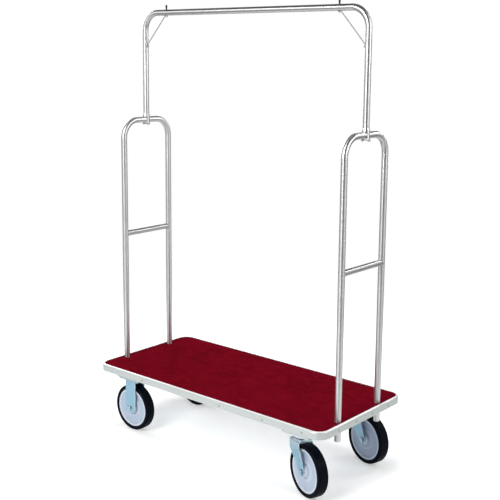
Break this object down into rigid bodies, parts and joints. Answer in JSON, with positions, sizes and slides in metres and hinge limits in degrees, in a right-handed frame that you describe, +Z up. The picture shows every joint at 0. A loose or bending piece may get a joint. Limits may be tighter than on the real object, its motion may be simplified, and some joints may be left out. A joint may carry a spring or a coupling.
{
  "type": "hotel luggage cart",
  "caption": "Wheeled hotel luggage cart with a carpeted deck in metal edge trim, tubular end hoops with push bars, and an overhead rail for hanging garments.",
  "frame": {"origin": "on the floor below the middle of the deck", "axes": "+X along the deck towards the swivel casters, +Y across the deck to the back, +Z up"},
  "size_m": [1.2372, 0.5644, 1.8456],
  "materials": {
    "plywood": "satin",
    "carpet": "matte cut pile",
    "edge_aluminium": "satin anodised",
    "stainless_tube": "fine brushed and polished",
    "steel_fastener": "plain",
    "zinc_steel": "blue zinc plate",
    "hub_plastic": "satin",
    "tyre_rubber": "matte",
    "peg_rubber": "matte",
    "bush_metal": "turned"
  },
  "bodies": {
    "cart": {"deck_board": "plywood", "left_bearer_board": "plywood", "right_bearer_board": "plywood", "deck_carpet": "carpet", "edge_trim": "edge_aluminium", "trim_screws": "steel_fastener", "left_end_hoop": "stainless_tube", "right_end_hoop": "stainless_tube", "left_push_bar": "stainless_tube", "right_push_bar": "stainless_tube", "post_tabs": "zinc_steel", "post_tab_screws": "steel_fastener", "post_end_plugs": "hub_plastic", "overhead_rail": "stainless_tube", "saddle_bolts": "zinc_steel", "saddle_nuts": "zinc_steel", "left_brace": "stainless_tube", "right_brace": "stainless_tube", "brace_screws": "steel_fastener", "peg_bolts": "zinc_steel", "peg_nuts": "zinc_steel", "left_peg_cap": "peg_rubber", "right_peg_cap": "peg_rubber", "caster_lag_screws": "zinc_steel", "left_front_fork": "zinc_steel", "left_front_axle_bolt": "steel_fastener", "left_front_axle_nut": "steel_fastener", "left_back_fork": "zinc_steel", "left_back_axle_bolt": "steel_fastener", "left_back_axle_nut": "steel_fastener", "right_front_swivel_plate": "zinc_steel", "right_front_race_balls": "steel_fastener", "right_front_kingpin": "steel_fastener", "right_front_kingpin_nut": "steel_fastener", "right_back_swivel_plate": "zinc_steel", "right_back_race_balls": "steel_fastener", "right_back_kingpin": "steel_fastener", "right_back_kingpin_nut": "steel_fastener"},
    "left_front_wheel": {"left_front_tyre": "tyre_rubber", "left_front_hub": "hub_plastic", "left_front_bush": "bush_metal"},
    "left_back_wheel": {"left_back_tyre": "tyre_rubber", "left_back_hub": "hub_plastic", "left_back_bush": "bush_metal"},
    "right_front_swivel_fork": {"right_front_fork": "zinc_steel", "right_front_axle_bolt": "steel_fastener", "right_front_axle_nut": "steel_fastener"},
    "right_front_wheel": {"right_front_tyre": "tyre_rubber", "right_front_hub": "hub_plastic", "right_front_bush": "bush_metal"},
    "right_back_swivel_fork": {"right_back_fork": "zinc_steel", "right_back_axle_bolt": "steel_fastener", "right_back_axle_nut": "steel_fastener"},
    "right_back_wheel": {"right_back_tyre": "tyre_rubber", "right_back_hub": "hub_plastic", "right_back_bush": "bush_metal"}
  },
  "joints": [
    {"name": "left_front_wheel_spin", "type": "hinge", "parent": "cart", "child": "left_front_wheel", "pos_m": [-0.45, -0.21, 0.1015], "axis": [0, 1, 0], "continuous": true},
    {"name": "left_back_wheel_spin", "type": "hinge", "parent": "cart", "child": "left_back_wheel", "pos_m": [-0.45, 0.188, 0.1015], "axis": [0, 1, 0], "continuous": true},
    {"name": "right_front_swivel", "type": "hinge", "parent": "cart", "child": "right_front_swivel_fork", "pos_m": [0.472, -0.21, 0.211], "axis": [0, 0, 1], "continuous": true},
    {"name": "right_front_wheel_spin", "type": "hinge", "parent": "right_front_swivel_fork", "child": "right_front_wheel", "pos_m": [0.51913, -0.22669, 0.1015], "axis": [0.3338, 0.9426, 0], "continuous": true},
    {"name": "right_back_swivel", "type": "hinge", "parent": "cart", "child": "right_back_swivel_fork", "pos_m": [0.472, 0.188, 0.211], "axis": [0, 0, 1], "continuous": true},
    {"name": "right_back_wheel_spin", "type": "hinge", "parent": "right_back_swivel_fork", "child": "right_back_wheel", "pos_m": [0.5203, 0.17506, 0.1015], "axis": [0.2588, 0.9659, 0], "continuous": true}
  ]
}
